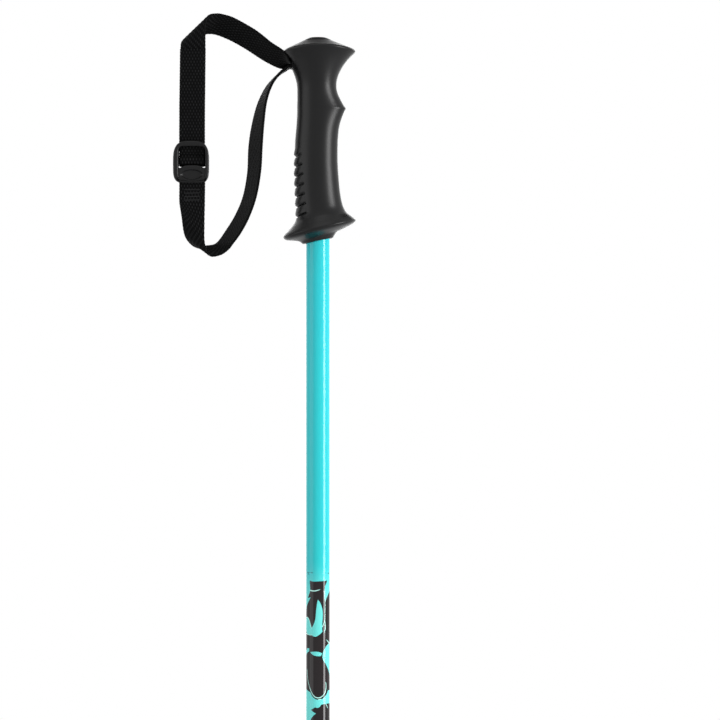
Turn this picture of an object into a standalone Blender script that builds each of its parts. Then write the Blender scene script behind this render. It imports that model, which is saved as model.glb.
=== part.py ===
"""Junior alpine ski pole with a one-finger moulded grip and an adjustable webbing strap.

The pole stands along +Z with its steel point at the origin. +X is the front of the grip, where the
fingers wrap, and the strap leaves the grip towards -X. All sizes are in metres.
"""

import math

import bmesh
import bpy
from mathutils import Vector

# ---------------------------------------------------------------- driving dimensions
GAP = 0.0003  # clearance between touching pieces

POLE_LENGTH = 0.900  # from the steel point to the crown of the grip
SHAFT_DIAMETER = 0.014
SHAFT_WALL = 0.0010
SHAFT_FOOT_DIAMETER = 0.0095  # at the lower end of the taper
TAPER_TOP = 0.420  # height where the taper starts
TAPER_FOOT = 0.120  # height where it ends
SHAFT_FOOT = 0.045  # height of the tube's lower end

GRIP_LENGTH = 0.1208
TUBE_TOP_DEPTH = 0.0242  # how far the tube's upper end lies under the crown
PLUG_FLANGE = 0.0016
PLUG_LENGTH = 0.0180
PLUG_TOP_DEPTH = TUBE_TOP_DEPTH - GAP - PLUG_FLANGE

RIB_COUNT = 7
RIB_PITCH = 0.0058
RIB_START = 0.0687  # depth of the first groove at the back of the grip
RIB_RISE = 0.38  # how steeply a groove climbs towards the front
RIB_CREST = 0.0007
RIB_GROOVE = 0.0009

CAP_RADIUS = 0.0078
CAP_EDGE_DEPTH = 0.0015
CAP_SEAT_DEPTH = 0.0029
CAP_SPIGOT_RADIUS = 0.0053
CAP_SPIGOT_DEPTH = 0.0056

SCREW_RADIUS = 0.0020
SCREW_HEAD_RADIUS = 0.0040
SCREW_HEAD_HEIGHT = 0.0024
SCREW_HEAD_DEPTH = 0.0062
SCREW_LENGTH = 0.0270
SCREW_POINT = 0.0030
RECESS_LENGTH = 0.0042
RECESS_WIDTH = 0.0011
RECESS_DEPTH = 0.0016
WASHER_RADIUS = 0.0050
WASHER_THICKNESS = 0.0010

STRAP_WIDTH = 0.0150
WEBBING = 0.0015  # thickness of the webbing
SLOT_DEPTH = 0.0166  # centre of the strap slot, under the crown
TAB_FRONT = 0.0070
TAB_REACH = 0.0081  # how far behind the tube the clamped ends reach
MOUTH = 0.0101  # how far behind the tube the webbing leaves the slot and starts to flex

BUCKLE_RAIL = 0.0023
BUCKLE_SIDE_PLAY = 0.0008  # how loosely the webbing sits between the buckle's side rails
BUCKLE_HEIGHT = 0.0249
BUCKLE_CORNER = 0.0052
BUCKLE_FRONT = 0.0020  # thickness of the bars in front of the webbing
BUCKLE_REAR = 0.0018  # thickness of the bars behind it
BUCKLE_CHANNEL_GAP = 0.00035
BUCKLE_DROP = 0.0564  # centre of the buckle, below the slot
TOP_BAR = 0.0040
UPPER_WINDOW = 0.0100
SLIT = 0.0013
MIDDLE_BAR = 0.0036

FERRULE_TOP = 0.106
FERRULE_WALL = 0.0015
SEAT_TOP = 0.0760  # underside of the ferrule's shoulder
SEAT_FOOT = 0.0630  # top of the snap bead
SEAT_WALL = 0.0018
SHOULDER_RISE = 0.0020
BEAD_RISE = 0.0006
BEAD_HEIGHT = 0.0022
FERRULE_FOOT = 0.0110
FERRULE_FOOT_RADIUS = 0.0034

POINT_RADIUS = 0.0019
POINT_FACE_RADIUS = 0.0014
POINT_COLLAR_RADIUS = 0.0026
POINT_TOP = 0.0330

BASKET_RADIUS = 0.0275
BASKET_HUB_WALL = 0.0024
BASKET_WEB = 0.0016
BASKET_RIM = 0.0017
BASKET_DROP = 0.0050
BASKET_WINDOWS = 6
WINDOW_INNER = 0.0125
WINDOW_OUTER = 0.0215
WINDOW_ANGLE = math.radians(36)

# ---------------------------------------------------------------- sizes that follow
SHAFT_RADIUS = SHAFT_DIAMETER / 2
SHAFT_FOOT_RADIUS = SHAFT_FOOT_DIAMETER / 2
SEAT_RADIUS = SHAFT_FOOT_RADIUS + GAP + SEAT_WALL
SHOULDER_RADIUS = SEAT_RADIUS + SHOULDER_RISE
SLOT_HEIGHT = 2 * WEBBING + 3 * GAP
BUCKLE_WIDTH = STRAP_WIDTH + 2 * (BUCKLE_SIDE_PLAY + BUCKLE_RAIL)
CROWN = POLE_LENGTH
SLOT_MIDDLE = CROWN - SLOT_DEPTH

SEGMENTS = 32
GRIP_RINGS_PER_STATION = 2

# The grip's outline, from the crown down. A station lists how far the surface stands outside the
# tube at the front, at the back and at the sides, and the depth of its front and back points.
# Stations down to the palm are measured from the crown, and the rest from the foot of the grip.
HEAD_STATIONS = (
    (0.0014, 0.0014, 0.0008, 0.0018, 0.0016),
    (0.0097, 0.0096, 0.0072, 0.0040, 0.0041),
    (0.0132, 0.0121, 0.0100, 0.0058, 0.0058),
    (0.0149, 0.0131, 0.0112, 0.0080, 0.0080),
    (0.0134, 0.0119, 0.0105, 0.0101, 0.0106),
    (0.0100, 0.0102, 0.0085, 0.0138, 0.0142),
    (0.0070, 0.0083, 0.0068, 0.0181, 0.0186),
    (0.0048, 0.0066, 0.0053, 0.0228, 0.0228),
    (0.0039, 0.0053, 0.0042, 0.0275, 0.0278),
    (0.0044, 0.0051, 0.0037, 0.0320, 0.0326),
    (0.0065, 0.0051, 0.0036, 0.0368, 0.0370),
    (0.0084, 0.0052, 0.0037, 0.0402, 0.0402),
    (0.0093, 0.0052, 0.0037, 0.0415, 0.0415),
    (0.0083, 0.0052, 0.0038, 0.0437, 0.0437),
    (0.0065, 0.0054, 0.0040, 0.0485, 0.0485),
    (0.0053, 0.0058, 0.0042, 0.0535, 0.0535),
    (0.0047, 0.0064, 0.0044, 0.0605, 0.0605),
)
FOOT_STATIONS = (
    (0.0046, 0.0068, 0.0045, 0.0488, 0.0468),
    (0.0051, 0.0067, 0.0045, 0.0398, 0.0368),
    (0.0060, 0.0061, 0.0047, 0.0302, 0.0258),
    (0.0073, 0.0058, 0.0056, 0.0235, 0.0175),
    (0.0088, 0.0061, 0.0068, 0.0200, 0.0136),
    (0.0103, 0.0074, 0.0080, 0.0182, 0.0110),
    (0.0132, 0.0104, 0.0104, 0.0160, 0.0076),
    (0.0148, 0.0126, 0.0118, 0.0146, 0.0052),
    (0.0150, 0.0131, 0.0121, 0.0138, 0.0040),
    (0.0143, 0.0125, 0.0115, 0.0127, 0.0028),
    (0.0125, 0.0106, 0.0098, 0.0114, 0.0022),
    (0.0081, 0.0060, 0.0060, 0.0091, 0.0018),
    (0.0043, 0.0036, 0.0036, 0.0073, 0.0013),
    (0.0025, 0.0024, 0.0023, 0.0052, 0.0006),
    (0.0016, 0.0017, 0.0016, 0.0034, 0.0000),
)

# The webbing's route. Each station is the middle of the band, measured from the back of the tube at
# the middle of the slot, and the direction of its near edge in half strap widths. A direction longer
# than 1 crosses the band obliquely, as the bend of a folded band does. The ends in the slot lie on
# each other.
LAYER = (WEBBING + GAP) / 2
UPPER_ROUTE = (
    ((-MOUTH, 0.0000, LAYER), (0.00, -1.00, 0.00)),
    ((-0.0125, 0.0000, 0.0016), (0.08, -0.98, 0.16)),
    ((-0.0165, 0.0002, 0.0039), (0.24, -0.86, 0.48)),
    ((-0.0227, 0.0007, 0.0082), (0.38, -0.74, 0.56)),
    ((-0.0325, 0.0019, 0.0156), (0.41, -0.60, 0.69)),
    ((-0.0435, 0.0028, 0.0218), (0.27, -0.55, 0.79)),
    ((-0.0515, 0.0029, 0.0245), (0.53, -0.54, 0.71)),
    ((-0.0585, 0.0020, 0.0240), (0.87, -0.51, 0.85)),
    ((-0.0644, -0.0009, 0.0203), (1.09, -0.25, 1.16)),
    ((-0.0660, -0.0036, 0.0136), (0.98, -0.05, 1.20)),
    ((-0.0660, -0.0040, 0.0026), (0.99, 0.00, 0.80)),
    ((-0.0662, -0.0040, -0.0134), (1.00, 0.00, 0.00)),
    ((-0.0664, -0.0040, -0.0234), (1.00, 0.00, 0.00)),
)
LOWER_ROUTE = (
    ((-0.0664, -0.0040, -0.0794), (1.00, 0.00, 0.00)),
    ((-0.0664, -0.0040, -0.0884), (0.96, 0.00, -0.55)),
    ((-0.0661, -0.0037, -0.0964), (0.95, -0.04, -1.07)),
    ((-0.0636, -0.0010, -0.1038), (1.07, -0.22, -0.84)),
    ((-0.0575, 0.0014, -0.1066), (1.07, -0.43, -0.47)),
    ((-0.0518, 0.0023, -0.1062), (0.90, -0.57, -0.12)),
    ((-0.0476, 0.0022, -0.1038), (0.65, -0.72, -0.02)),
    ((-0.0424, 0.0020, -0.0968), (0.55, -0.81, -0.15)),
    ((-0.0373, 0.0016, -0.0879), (0.53, -0.83, -0.11)),
    ((-0.0329, 0.0010, -0.0764), (0.52, -0.85, -0.01)),
    ((-0.0303, 0.0005, -0.0619), (0.52, -0.85, 0.07)),
    ((-0.0295, 0.0003, -0.0472), (0.53, -0.85, 0.03)),
    ((-0.0281, 0.0000, -0.0344), (0.47, -0.88, 0.07)),
    ((-0.0256, -0.0002, -0.0216), (0.35, -0.93, 0.08)),
    ((-0.0214, 0.0000, -0.0116), (0.24, -0.97, 0.08)),
    ((-0.0158, 0.0000, -0.0049), (0.13, -0.99, 0.05)),
    ((-0.0119, 0.0000, -0.0021), (0.04, -1.00, 0.01)),
    ((-MOUTH, 0.0000, -LAYER), (0.00, -1.00, 0.00)),
)
WEBBING_STEPS = 4  # mesh steps between two stations of the route
STRAIGHT_STEPS = 3

# ---------------------------------------------------------------- materials
COLOURS = {
    "turquoise_paint": ((0.04, 0.66, 0.72), 0.25, 0.3),
    "black_grip": ((0.035, 0.035, 0.037), 0.5, 0.0),
    "black_plastic": ((0.02, 0.02, 0.022), 0.4, 0.0),
    "black_webbing": ((0.01, 0.01, 0.011), 0.85, 0.0),
    "steel": ((0.60, 0.61, 0.63), 0.3, 1.0),
    "natural_nylon": ((0.78, 0.76, 0.70), 0.55, 0.0),
}


def material(name):
    """A Principled material, made once for each name."""
    found = bpy.data.materials.get(name)
    if found:
        return found
    colour, roughness, metallic = COLOURS[name]
    made = bpy.data.materials.new(name)
    made.use_nodes = True
    shader = made.node_tree.nodes["Principled BSDF"]
    shader.inputs["Base Color"].default_value = (*colour, 1.0)
    shader.inputs["Roughness"].default_value = roughness
    shader.inputs["Metallic"].default_value = metallic
    return made


# ---------------------------------------------------------------- mesh helpers
def object_from(name, bm, finish, smooth=math.radians(35)):
    """An object in the scene from a bmesh, with its faces pointing out."""
    bmesh.ops.recalc_face_normals(bm, faces=bm.faces)
    mesh = bpy.data.meshes.new(name)
    bm.to_mesh(mesh)
    bm.free()
    mesh.shade_smooth()
    mesh.set_sharp_from_angle(angle=smooth)
    obj = bpy.data.objects.new(name, mesh)
    bpy.context.scene.collection.objects.link(obj)
    if finish:
        mesh.materials.append(material(finish))
    return obj


def rings_to_bmesh(rings, capped=True, closed=False):
    """A skin over rings of points. The first and last rings are capped, or joined if closed."""
    bm = bmesh.new()
    rows = [[bm.verts.new(point) for point in ring] for ring in rings]
    pairs = list(zip(rows, rows[1:]))
    if closed:
        pairs.append((rows[-1], rows[0]))
    for low, high in pairs:
        count = len(low)
        for i in range(count):
            j = (i + 1) % count
            bm.faces.new((low[i], low[j], high[j], high[i]))
    if capped and not closed:
        bm.faces.new(rows[0])
        bm.faces.new(rows[-1])
    return bm


def circle(radius, height, count=SEGMENTS):
    step = 2 * math.pi / count
    return [(radius * math.cos(i * step), radius * math.sin(i * step), height) for i in range(count)]


def turned(name, outline, finish, closed=False, count=SEGMENTS):
    """A turned piece. The outline is (radius, height) points, and a closed one goes round a hole."""
    rings = [circle(radius, height, count) for radius, height in outline]
    return object_from(name, rings_to_bmesh(rings, closed=closed), finish)


def block(name, low, high, finish=None):
    """A plain box between two corners."""
    bm = bmesh.new()
    bmesh.ops.create_cube(bm, size=1.0)
    for vert in bm.verts:
        for axis in range(3):
            vert.co[axis] = low[axis] if vert.co[axis] < 0 else high[axis]
    return object_from(name, bm, finish)


def boolean(obj, other, operation="DIFFERENCE"):
    """Cuts with, or joins, another object, which is then only a hidden helper."""
    modifier = obj.modifiers.new(f"{operation.lower()}_{other.name}", "BOOLEAN")
    modifier.operation = operation
    modifier.solver = "EXACT"
    modifier.object = other
    other.hide_render = True
    other.display_type = "WIRE"
    other.data.materials.clear()


def smooth_between(rows, steps):
    """Points on a smooth curve through rows of numbers, with steps between two of them."""
    found = []
    for i in range(len(rows) - 1):
        before, start = rows[max(i - 1, 0)], rows[i]
        end, after = rows[i + 1], rows[min(i + 2, len(rows) - 1)]
        for k in range(steps):
            t = k / steps
            found.append(tuple(
                0.5 * (2 * b + (c - a) * t + (2 * a - 5 * b + 4 * c - d) * t**2 + (3 * b - a - 3 * c + d) * t**3)
                for a, b, c, d in zip(before, start, end, after)
            ))
    found.append(tuple(rows[-1]))
    return found


# ---------------------------------------------------------------- shaft
def taper_radius(height):
    """Outer radius of the tube at a height."""
    share = (height - TAPER_FOOT) / (TAPER_TOP - TAPER_FOOT)
    share = min(max(share, 0.0), 1.0)
    return SHAFT_FOOT_RADIUS + share * (SHAFT_RADIUS - SHAFT_FOOT_RADIUS)


def make_shaft():
    """One drawn aluminium tube, open at both ends, with a long taper in its lower half."""
    heights = (SHAFT_FOOT, TAPER_FOOT, TAPER_TOP, CROWN - TUBE_TOP_DEPTH)
    outside = [(taper_radius(height), height) for height in heights]
    inside = [(radius - SHAFT_WALL, height) for radius, height in reversed(outside)]
    turned("shaft_tube", outside + inside, "turquoise_paint", closed=True)


def make_tube_plug():
    """A nylon plug in the tube's upper end, which takes the strap screw."""
    top = CROWN - PLUG_TOP_DEPTH
    under_flange = top - PLUG_FLANGE
    bottom = under_flange - PLUG_LENGTH
    body = SHAFT_RADIUS - SHAFT_WALL - GAP
    pilot = SCREW_RADIUS + GAP
    outline = (
        (SHAFT_RADIUS, top), (SHAFT_RADIUS, under_flange), (body, under_flange), (body, bottom),
        (pilot, bottom), (pilot, top),
    )
    turned("tube_plug", outline, "natural_nylon", closed=True)


# ---------------------------------------------------------------- grip
def rib_height(depth, behind, inner):
    """Height of the palm ribs over the plain grip, for a point this far behind the shaft's axis."""
    along = (depth - RIB_START) / RIB_PITCH
    if not -0.5 < along < RIB_COUNT - 0.5:
        return 0.0
    inside = min(max((behind - inner) / 0.0015, 0.0), 1.0)
    phase = along - math.floor(along)
    crest = RIB_CREST * math.sin(math.pi * phase) ** 2
    groove = RIB_GROOVE * max(0.0, 1 - 5 * min(phase, 1 - phase)) ** 2
    return inside * (crest - groove)


def grip_ring(station):
    """One ring of the grip, on a plane through its front and back points."""
    front, back, side, front_depth, back_depth = station
    front, back, side = (SHAFT_RADIUS + wall for wall in (front, back, side))
    ring = []
    for i in range(SEGMENTS):
        angle = 2 * math.pi * i / SEGMENTS
        reach = front if math.cos(angle) > 0 else back
        x, y = reach * math.cos(angle), side * math.sin(angle)
        share = (x + back) / (front + back)
        depth = back_depth + share * (front_depth - back_depth)
        from_back = x + back
        inner = SHAFT_RADIUS + 0.0025 - 0.0035 * (depth - RIB_START) / (RIB_COUNT * RIB_PITCH)
        rib = rib_height(depth + RIB_RISE * from_back, -x, inner)
        outward = 1 + rib / math.hypot(x, y)
        ring.append((x * outward, y * outward, CROWN - depth))
    return ring


def grip_stations():
    """All the grip's stations, with extra ones between, close together where the ribs are."""
    foot = [(*row[:3], GRIP_LENGTH - row[3], GRIP_LENGTH - row[4]) for row in FOOT_STATIONS]
    upper = smooth_between(HEAD_STATIONS, GRIP_RINGS_PER_STATION)[:-1]
    palm = smooth_between([HEAD_STATIONS[-2], HEAD_STATIONS[-1], *foot[:5]], 7)[7:-1]
    lower = smooth_between(foot[4:], GRIP_RINGS_PER_STATION)
    return upper + palm + lower


def make_grip():
    """The moulded grip, with its tube bore, strap slot and screw well cut out."""
    rings = [grip_ring(station) for station in grip_stations()]
    grip = object_from("grip_body", rings_to_bmesh(rings), "black_grip")
    pilot = SCREW_RADIUS + GAP
    well_floor = CROWN - (SCREW_HEAD_DEPTH + SCREW_HEAD_HEIGHT + WASHER_THICKNESS + 2 * GAP)
    bore = SHAFT_RADIUS + GAP
    bore_roof = CROWN - PLUG_TOP_DEPTH + GAP
    above, below = CROWN + 0.01, CROWN - GRIP_LENGTH - 0.01
    outline = (
        (CAP_RADIUS + GAP, above), (CAP_RADIUS + GAP, CROWN - CAP_SEAT_DEPTH - GAP),
        (CAP_SPIGOT_RADIUS + GAP, CROWN - CAP_SEAT_DEPTH - GAP), (CAP_SPIGOT_RADIUS + GAP, well_floor),
        (pilot, well_floor), (pilot, bore_roof), (bore, bore_roof), (bore, below),
    )
    boolean(grip, turned("cut_grip_bore", outline, None))
    half_width = STRAP_WIDTH / 2 + GAP
    slot = block(
        "cut_strap_slot",
        (-0.05, -half_width, SLOT_MIDDLE - SLOT_HEIGHT / 2),
        (TAB_FRONT + GAP, half_width, SLOT_MIDDLE + SLOT_HEIGHT / 2),
    )
    boolean(grip, slot)


def make_grip_cap():
    """The domed plug that hides the strap screw."""
    rise = [
        (CAP_RADIUS * math.sin(angle), CROWN - CAP_EDGE_DEPTH * (1 - math.cos(angle)))
        for angle in (math.radians(degrees) for degrees in (15, 35, 55, 75, 90))
    ]
    outline = rise + [
        (CAP_RADIUS, CROWN - CAP_SEAT_DEPTH), (CAP_SPIGOT_RADIUS, CROWN - CAP_SEAT_DEPTH),
        (CAP_SPIGOT_RADIUS, CROWN - CAP_SPIGOT_DEPTH),
    ]
    turned("grip_cap", outline, "black_grip")


# ---------------------------------------------------------------- strap fixing
def make_screw():
    """A pan-head tapping screw, down through the doubled webbing and into the tube plug."""
    top = CROWN - SCREW_HEAD_DEPTH
    under_head = top - SCREW_HEAD_HEIGHT
    end = under_head - SCREW_LENGTH
    outline = (
        (SCREW_HEAD_RADIUS * 0.72, top), (SCREW_HEAD_RADIUS * 0.94, top - SCREW_HEAD_HEIGHT * 0.3),
        (SCREW_HEAD_RADIUS, top - SCREW_HEAD_HEIGHT * 0.6), (SCREW_HEAD_RADIUS, under_head),
        (SCREW_RADIUS, under_head), (SCREW_RADIUS, end + SCREW_POINT), (SCREW_RADIUS * 0.15, end),
    )
    screw = turned("strap_screw", outline, "steel", count=24)
    for name, long_x in (("cut_recess_across", True), ("cut_recess_along", False)):
        half_x, half_y = (RECESS_LENGTH / 2, RECESS_WIDTH / 2)[:: 1 if long_x else -1]
        cutter = block(name, (-half_x, -half_y, top - RECESS_DEPTH), (half_x, half_y, top + 0.001))
        boolean(screw, cutter)


def make_washer():
    top = CROWN - SCREW_HEAD_DEPTH - SCREW_HEAD_HEIGHT - GAP
    bottom = top - WASHER_THICKNESS
    hole = SCREW_RADIUS + GAP
    outline = ((WASHER_RADIUS, top), (WASHER_RADIUS, bottom), (hole, bottom), (hole, top))
    turned("strap_washer", outline, "steel", closed=True)


def make_end_tab():
    """The two ends of the webbing, sewn flat on each other and held in the slot by the screw."""
    half = WEBBING + GAP / 2
    tab = block(
        "strap_end_tab",
        (-SHAFT_RADIUS - TAB_REACH, -STRAP_WIDTH / 2, SLOT_MIDDLE - half),
        (TAB_FRONT, STRAP_WIDTH / 2, SLOT_MIDDLE + half),
        "black_webbing",
    )
    hole = SCREW_RADIUS + GAP
    outline = ((hole, SLOT_MIDDLE + 0.01), (hole, SLOT_MIDDLE - 0.01))
    boolean(tab, turned("cut_tab_hole", outline, None))


# ---------------------------------------------------------------- strap
def band(name, stations):
    """A closed band of webbing along stations of (middle, direction of the near edge)."""
    middles = [Vector(middle) for middle, _ in stations]
    edges = [Vector(edge) for _, edge in stations]
    rings = []
    for i, (middle, edge) in enumerate(zip(middles, edges)):
        along = middles[min(i + 1, len(middles) - 1)] - middles[max(i - 1, 0)]
        outward = along.cross(edge).normalized() * (WEBBING / 2)
        reach = edge * (STRAP_WIDTH / 2)
        ring = (middle + reach + outward, middle - reach + outward, middle - reach - outward,
                middle + reach - outward)
        rings.append([point + Vector((-SHAFT_RADIUS, 0, SLOT_MIDDLE)) for point in ring])
    return object_from(name, rings_to_bmesh(rings), "black_webbing")


def route(stations):
    """The smooth route through hand-chosen stations."""
    rows = [(*middle, *edge) for middle, edge in stations]
    return [(row[:3], row[3:]) for row in smooth_between(rows, WEBBING_STEPS)]


def make_strap():
    """The long and the short webbing. They end face to face inside the buckle."""
    cut = -BUCKLE_DROP - SLIT
    (x, y, z), edge = UPPER_ROUTE[-1]
    fall = [((x, y, z + (cut - z) * k / STRAIGHT_STEPS), edge) for k in range(1, STRAIGHT_STEPS + 1)]
    band("strap_upper", route(UPPER_ROUTE) + fall)
    (low_x, low_y, low_z), edge = LOWER_ROUTE[0]
    start = cut - GAP
    drop = [
        ((x + (low_x - x) * k / STRAIGHT_STEPS, low_y, start + (low_z - start) * k / STRAIGHT_STEPS), edge)
        for k in range(STRAIGHT_STEPS)
    ]
    band("strap_lower", drop + route(LOWER_ROUTE))


# ---------------------------------------------------------------- buckle
def rounded_outline(width, height, corner, steps=5):
    """Corner points of a rounded rectangle in the XZ plane, anticlockwise from +X."""
    points = []
    for quarter, (sx, sz) in enumerate(((1, 1), (-1, 1), (-1, -1), (1, -1))):
        centre = (sx * (width / 2 - corner), sz * (height / 2 - corner))
        for k in range(steps + 1):
            angle = math.pi / 2 * (quarter + k / steps)
            points.append((centre[0] + corner * math.cos(angle), centre[1] + corner * math.sin(angle)))
    return points


def make_buckle():
    """A moulded ladder buckle. The webbing runs behind its top bar and lip, and before its middle bar."""
    webbing_x, webbing_y, _ = UPPER_ROUTE[-1][0]
    half = STRAP_WIDTH / 2 + BUCKLE_SIDE_PLAY
    middle_x = webbing_x - SHAFT_RADIUS - BUCKLE_SIDE_PLAY + GAP  # the webbing lies against the inner rail
    middle_z = SLOT_MIDDLE - BUCKLE_DROP
    channel = WEBBING / 2 + BUCKLE_CHANNEL_GAP
    front, face = webbing_y - channel - BUCKLE_FRONT, webbing_y - channel
    floor, rear = webbing_y + channel, webbing_y + channel + BUCKLE_REAR
    outline = rounded_outline(BUCKLE_WIDTH, BUCKLE_HEIGHT, BUCKLE_CORNER)
    rings = [[(middle_x + x, y, middle_z + z) for x, z in outline] for y in (front, rear)]
    buckle = object_from("strap_buckle", rings_to_bmesh(rings), "black_plastic")

    top = middle_z + BUCKLE_HEIGHT / 2
    bottom = middle_z - BUCKLE_HEIGHT / 2
    boolean(buckle, block(
        "cut_webbing_channel",
        (middle_x - half, face, bottom - 0.01), (middle_x + half, rear + 0.01, top + 0.01),
    ))
    window_foot = top - TOP_BAR - UPPER_WINDOW
    boolean(buckle, block(
        "cut_upper_window",
        (middle_x - half, front - 0.01, window_foot), (middle_x + half, face + 0.001, top - TOP_BAR),
    ))
    over = 0.0006  # how far a bar runs into the side rails
    bars = (("join_middle_bar", window_foot + SLIT), ("join_rear_bar", bottom + SLIT))
    for name, low in bars:
        boolean(buckle, block(
            name, (middle_x - half - over, floor, low), (middle_x + half + over, rear, low + MIDDLE_BAR),
        ), "UNION")


# ---------------------------------------------------------------- foot of the pole
def make_ferrule():
    """The moulded foot over the tube's end, with the basket's seat and the steel point's socket."""
    socket = SHAFT_FOOT_RADIUS + GAP
    socket_floor = SHAFT_FOOT - GAP
    mouth = taper_radius(FERRULE_TOP) + GAP
    point_bore = POINT_RADIUS + GAP
    outline = (
        (mouth + FERRULE_WALL * 0.6, FERRULE_TOP), (socket + FERRULE_WALL, FERRULE_TOP - 0.004),
        (socket + FERRULE_WALL, SEAT_TOP + 0.010), (SHOULDER_RADIUS, SEAT_TOP + 0.005),
        (SHOULDER_RADIUS, SEAT_TOP), (SEAT_RADIUS, SEAT_TOP), (SEAT_RADIUS, SEAT_FOOT),
        (SEAT_RADIUS + BEAD_RISE, SEAT_FOOT - BEAD_HEIGHT * 0.2),
        (SEAT_RADIUS - BEAD_RISE, SEAT_FOOT - BEAD_HEIGHT),
        (FERRULE_FOOT_RADIUS + 0.0005, FERRULE_FOOT + 0.004), (FERRULE_FOOT_RADIUS, FERRULE_FOOT),
        (point_bore, FERRULE_FOOT), (point_bore, POINT_TOP + GAP), (point_bore * 0.5, POINT_TOP + GAP),
        (point_bore * 0.5, socket_floor), (socket, socket_floor), (mouth, FERRULE_TOP),
    )
    turned("tip_ferrule", outline, "black_plastic", closed=True)


def make_point():
    """The hardened steel point, pressed into the ferrule, with a collar against its end."""
    collar_top = FERRULE_FOOT - GAP
    outline = (
        (POINT_FACE_RADIUS, 0.0), (POINT_RADIUS, 0.0022), (POINT_RADIUS, collar_top - 0.0030),
        (POINT_COLLAR_RADIUS, collar_top - 0.0018), (POINT_COLLAR_RADIUS, collar_top),
        (POINT_RADIUS, collar_top), (POINT_RADIUS, POINT_TOP - 0.0008), (POINT_RADIUS * 0.7, POINT_TOP),
    )
    turned("tip_point", outline, "steel", count=24)


def make_basket():
    """The snow basket: a hub snapped on the ferrule, a dished web with windows, and a rim."""
    hub_bore = SEAT_RADIUS + GAP
    hub = hub_bore + BASKET_HUB_WALL
    hub_top, hub_foot = SEAT_TOP - GAP, SEAT_FOOT + GAP
    web_height = hub_foot + BASKET_DROP
    rim_height = hub_foot + BASKET_RIM
    rim_in = BASKET_RADIUS - 2 * BASKET_RIM
    rim = [
        (BASKET_RADIUS - BASKET_RIM + BASKET_RIM * math.cos(angle), rim_height + BASKET_RIM * math.sin(angle))
        for angle in (math.radians(degrees) for degrees in (110, 60, 10, -40, -90, -130))
    ]
    outline = [
        (hub - 0.0006, hub_top), (hub, hub_top - 0.0006), (hub, web_height + BASKET_WEB + 0.0008),
        (hub + 0.0008, web_height + BASKET_WEB), (rim_in, rim_height + BASKET_WEB * 0.7),
        *rim, (rim_in, rim_height - BASKET_WEB * 0.3),
        (hub + 0.0008, web_height), (hub, web_height - 0.0008), (hub, hub_foot),
        (hub_bore, hub_foot), (hub_bore, hub_top),
    ]
    basket = turned("basket", outline, "black_plastic", closed=True, count=48)
    bm = bmesh.new()
    steps = 6
    for window in range(BASKET_WINDOWS):
        middle = 2 * math.pi * (window + 0.5) / BASKET_WINDOWS
        corners = []
        for radius, way in ((WINDOW_INNER, 1), (WINDOW_OUTER, -1)):
            spread = WINDOW_ANGLE * (0.8 if radius == WINDOW_INNER else 1.0)
            for k in range(steps + 1):
                angle = middle + way * spread * (k / steps - 0.5)
                corners.append((radius * math.cos(angle), radius * math.sin(angle)))
        low = [bm.verts.new((x, y, hub_foot - 0.01)) for x, y in corners]
        high = [bm.verts.new((x, y, hub_top + 0.01)) for x, y in corners]
        bm.faces.new(low)
        bm.faces.new(high)
        for i in range(len(corners)):
            j = (i + 1) % len(corners)
            bm.faces.new((low[i], low[j], high[j], high[i]))
    boolean(basket, object_from("cut_basket_windows", bm, None))


def clear_scene():
    for obj in list(bpy.data.objects):
        bpy.data.objects.remove(obj)


def main():
    clear_scene()
    make_shaft()
    make_tube_plug()
    make_grip()
    make_grip_cap()
    make_screw()
    make_washer()
    make_end_tab()
    make_strap()
    make_buckle()
    make_ferrule()
    make_point()
    make_basket()


main()
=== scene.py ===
"""The looks of a junior alpine ski pole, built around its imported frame.

Metres, with +Z up the shaft from the steel point, +X to the front of the grip and the strap at -X.
Depths are measured down from the crown of the grip.
"""

import math

import bmesh
import bpy
import numpy as np
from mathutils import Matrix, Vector


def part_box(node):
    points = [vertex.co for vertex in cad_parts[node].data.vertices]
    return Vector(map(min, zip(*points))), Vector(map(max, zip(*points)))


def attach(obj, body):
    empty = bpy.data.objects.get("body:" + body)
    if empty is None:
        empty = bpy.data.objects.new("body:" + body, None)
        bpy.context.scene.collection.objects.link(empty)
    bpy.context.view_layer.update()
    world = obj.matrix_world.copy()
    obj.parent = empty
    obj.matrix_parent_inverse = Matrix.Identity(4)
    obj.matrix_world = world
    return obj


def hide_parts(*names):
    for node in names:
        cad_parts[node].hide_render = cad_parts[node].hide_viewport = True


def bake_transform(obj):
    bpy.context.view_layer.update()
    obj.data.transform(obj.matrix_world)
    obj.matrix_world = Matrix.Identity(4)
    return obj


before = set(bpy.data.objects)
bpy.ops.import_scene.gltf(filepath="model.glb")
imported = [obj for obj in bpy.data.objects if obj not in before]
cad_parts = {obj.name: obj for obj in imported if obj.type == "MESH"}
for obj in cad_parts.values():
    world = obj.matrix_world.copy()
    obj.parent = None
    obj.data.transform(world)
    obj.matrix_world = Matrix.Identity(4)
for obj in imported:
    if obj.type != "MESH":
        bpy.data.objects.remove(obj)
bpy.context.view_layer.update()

# ================================================================ the studio
# A pale floor under the steel point and a white surround. A tall lamp at the front right draws
# the bright line down the tube and the grip, a broad weak one stands at the left, one stands behind and
# one hangs above. A black card over the back keeps the crown of the grip dark.
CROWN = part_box("grip_cap")[1].z
PICTURE_CENTRE = Vector((0.0246, 0.0, CROWN - 0.1886))
PICTURE_WIDTH = 0.421
LENS = 200.0
FILM = 36.0
LAMP_AIM_HEIGHT = 0.75

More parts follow.
